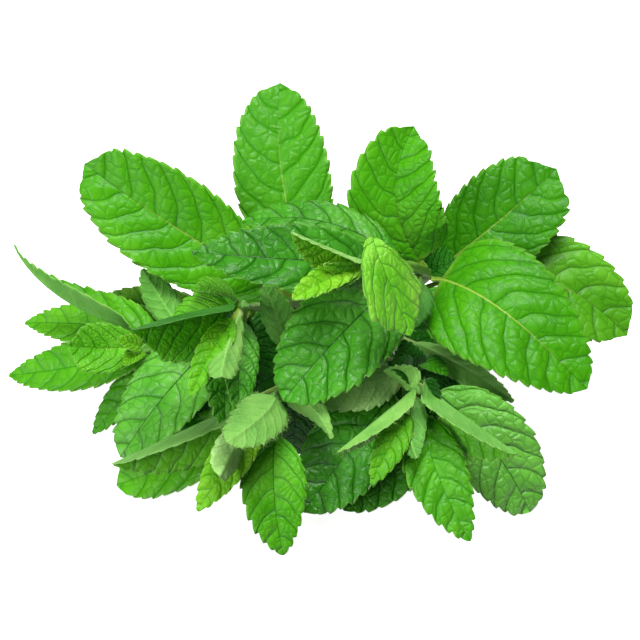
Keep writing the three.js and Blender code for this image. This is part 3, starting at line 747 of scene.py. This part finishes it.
bud("low_right", [
    ((5, -38, 45), (0.66, -0.74, 0.14), 12,
     {"bow": 0, "fold": 38, "petiole": 1.5, "swell": 0.45, "tone": 0.35, "quilt": 0.03,
      "hairs": 200}),
    ((15, -48, 37), (0, 0.2, 1), 10, {"bow": 2, "petiole": 8, "tone": 0.1}),
    ((28, -40, 40), (0.4, 0.2, -1), 9,
     {"bow": 2, "sway": -3, "fold": 25, "petiole": 2, "swell": 0.45, "tone": -0.1}),
    ((19, -15, 28), (0.3, 0.6, -0.7), 10, {"bow": 1, "fold": 25, "swell": 0.3, "tone": 0.4}),
])


# ---- the small leaves in the forks ----
# Small dark leaves that grow from the knots, in the forks between the stem and the large leaves.
# They fill the inside of the bunch, where shade falls; most have the dark shaded skin, which is
# painted shade. Each shoot's small leaves are one piece.


def fork_leaves(shoot, leaves):
    piece = leaf_mesh()
    for at, tip, face, width, shape in leaves:
        centre, axis, side, top = shoot_frame(shoot, at)
        tip = fan_point(tip)
        out = tip - centre
        out = (out - axis * axis.dot(out)).normalized()
        reach = half_width(shoot, at) / max(abs(out.dot(side)), abs(out.dot(top)))
        face = (FAN_TURN @ Vector(face)).normalized()
        add_blade(piece, centre + out * (reach + 0.3), tip, face, width, out * -1, quilt=0.03,
                  **shape)
    skins = LEAF_FACES["shaded"] + LEAF_FACES["waxy"]
    grown = visible_piece(piece, shoot + "_fork_leaves", skins)
    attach(grown, "root")


fork_leaves("main", [
    (0.48, (39, 29, -24), (0, 0.2, 1), 19, {"swell": 0.4, "tone": 0.9}),
    (0.56, (46, 20, -22), (0, 0.2, 1), 13, {"petiole": 1, "swell": 0.35, "tone": 0.9}),
])
fork_leaves("left", [
    (0.46, (-19, -21, -13), (0, 0.4, 1), 22, {"bow": 2, "swell": 0.4, "tone": 0.3}),
    (0.72, (-40, -33, -4), (0, 0.4, 1), 18, {"bow": -2, "point": 0.6, "tone": 0.6}),
    (0.86, (-28, -34, 25), (0.3, 0.2, 1), 14,
     {"bow": 1, "sway": 3, "tone": 0.7, "first_slot": 2}),
])
fork_leaves("low_left", [
    (0.64, (-8, -42, -8), (0, 0.4, 1), 14, {"swell": 0.8, "point": 0.6, "tone": 0.2}),
])
fork_leaves("low_right", [
    (0.56, (27, -31, -3), (0, 0.4, 1), 14, {"bow": -1, "tone": 0.3}),
    (0.66, (37, -33, 0), (0, 0.4, 1), 17, {"bow": -1, "swell": 0.35, "tone": 0.5}),
    (0.82, (25, -6, 17), (0, 0.3, 1), 11, {"petiole": 1, "swell": 0.4, "tone": 0.5}),
    (0.94, (20, -13, 27), (0, 0.4, 1), 9, {"petiole": 1, "swell": 0.4, "tone": 0.3}),
    (0.9, (35, -29, 24), (0, 0.3, 1), 10, {"petiole": 1, "swell": 0.4, "tone": 0.2}),
])


# ---- floor, light and camera ----
# A plain white table, a broad soft light overhead in front, and even white surroundings.

TABLE_HALF = 30
TABLE_DROP = 0.0003  # keeps the table clear of the leaves pressed on it
CAMERA_DISTANCE = 0.62

floor_mesh = bmesh.new()
bmesh.ops.create_grid(floor_mesh, x_segments=1, y_segments=1, size=TABLE_HALF)
bmesh.ops.translate(floor_mesh, verts=floor_mesh.verts, vec=(0, 0, -TABLE_DROP))
mesh = bpy.data.meshes.new("white_table")
floor_mesh.to_mesh(mesh)
floor_mesh.free()
floor = bpy.data.objects.new("white_table", mesh)
bpy.context.collection.objects.link(floor)
table_top = new_material("matt_white_table_top")
tree = table_top.node_tree
shader = add(
    tree, "BsdfPrincipled",
    {"Base Color": linear("#f6f6f4"), "Roughness": 0.8, "Emission Color": linear("#ffffff"),
     "Emission Strength": 0.85},
)
add(tree, "OutputMaterial", {0: shader})
mesh.materials.append(table_top)
floor.visible_diffuse = False

world = bpy.data.worlds.new("even_white_surroundings")
world.use_nodes = True
world.node_tree.nodes["Background"].inputs["Color"].default_value = linear("#ffffff")
world.node_tree.nodes["Background"].inputs["Strength"].default_value = 0.11
bpy.context.scene.world = world

centre = Vector((0.00027, -0.00913, 0.04))
for name, place, size, power in (
    ("overhead_softbox", (0.05, -0.1, 1.1), 0.55, 13),
    ("left_softbox", (-0.75, -0.75, 0.45), 0.6, 8),
    ("rear_softbox", (0.35, 0.9, 0.5), 0.6, 3),
):
    light = bpy.data.lights.new(name, "AREA")
    light.shape = "SQUARE"
    light.size = size
    light.energy = power
    lamp = bpy.data.objects.new(name, light)
    lamp.location = centre + Vector(place)
    lamp.rotation_euler = Vector(place).to_track_quat("Z", "Y").to_euler()
    bpy.context.collection.objects.link(lamp)

lens = bpy.data.cameras.new("camera")
lens.lens = 112.5
lens.sensor_width = 36
lens.clip_start = 0.01
camera = bpy.data.objects.new("camera", lens)
elevation = math.radians(FAN_LEAN)
view = Vector((0, -math.cos(elevation), math.sin(elevation)))
camera.location = centre + view * CAMERA_DISTANCE
camera.rotation_euler = view.to_track_quat("Z", "Y").to_euler()
bpy.context.collection.objects.link(camera)
bpy.context.scene.camera = camera
bpy.context.scene.view_settings.view_transform = "Standard"
